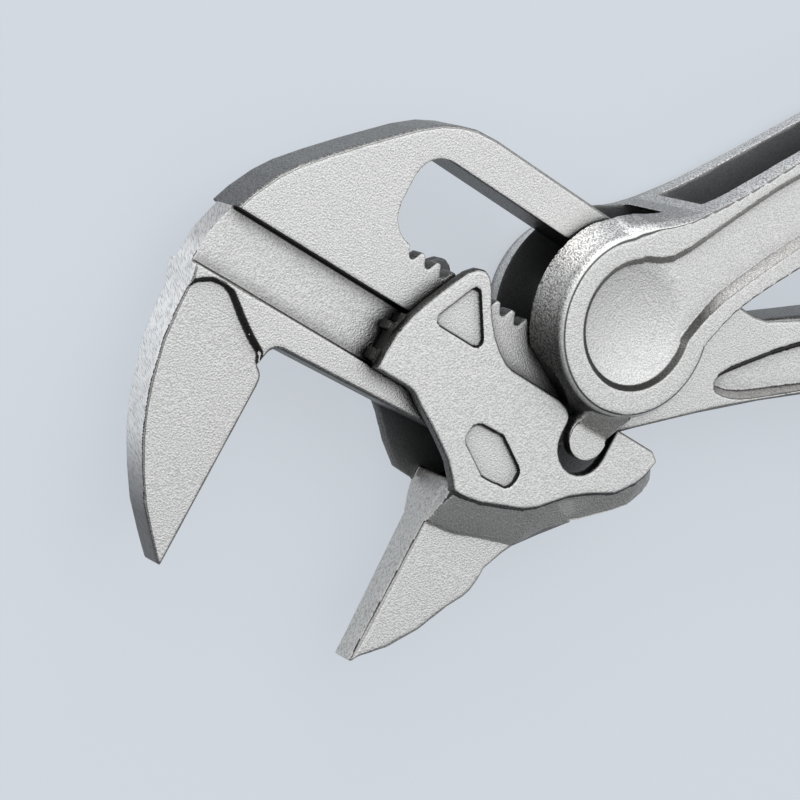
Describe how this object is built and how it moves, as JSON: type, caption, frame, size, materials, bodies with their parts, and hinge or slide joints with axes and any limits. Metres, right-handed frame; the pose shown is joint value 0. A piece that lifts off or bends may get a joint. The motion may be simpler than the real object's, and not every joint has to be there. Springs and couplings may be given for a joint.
{
  "type": "pliers wrench",
  "caption": "Adjustable pliers wrench with smooth parallel jaws: a forked lever drives the sliding jaw and a push button sets its step on a toothed rack.",
  "frame": {"origin": "where the pivot axis meets the plane that the tool rests on, in the middle of the push button's face", "axes": "+Z out of the front face along the pivot axis, +X along the jaw's slide out of the fixed jaw's gripping face, +Y square to the slide and away from the jaws"},
  "size_m": [0.0879, 0.0801, 0.0106],
  "materials": {
    "satin_chrome": "blasted matt chrome plate with a fine grain",
    "ground_steel": "ground",
    "spring_steel": "dark drawn wire and blued sheet"
  },
  "bodies": {
    "lever": {"main_lever": "satin_chrome"},
    "carriage": {"retaining_ring": "spring_steel", "bolt_spring": "spring_steel"},
    "fork": {"fork_lever": "satin_chrome"},
    "jaw": {"sliding_jaw": "satin_chrome"},
    "bolt": {"pivot_bolt": "ground_steel"}
  },
  "joints": [
    {"name": "adjust_slide", "type": "slide", "parent": "lever", "child": "carriage", "axis": [1, 0, 0], "range_m": [-0.0176, 0.0016]},
    {"name": "lever_hinge", "type": "hinge", "parent": "carriage", "child": "fork", "pos_m": [0, 0, 0.0053], "axis": [0, 0, 1], "range_deg": [-5.5, 14]},
    {"name": "jaw_slide", "type": "slide", "parent": "carriage", "child": "jaw", "axis": [1, 0, 0], "range_m": [-0.00087, 0.0022]},
    {"name": "button_press", "type": "slide", "parent": "carriage", "child": "bolt", "axis": [0, 0, 1], "range_m": [0, 0.00145], "stiffness_N_per_m": 900, "springref_m": -0.001, "deforming": ["bolt_spring"]}
  ],
  "couplings": [
    {"joint": "jaw_slide", "follows": "lever_hinge", "m_per_rad": 0.009}
  ]
}
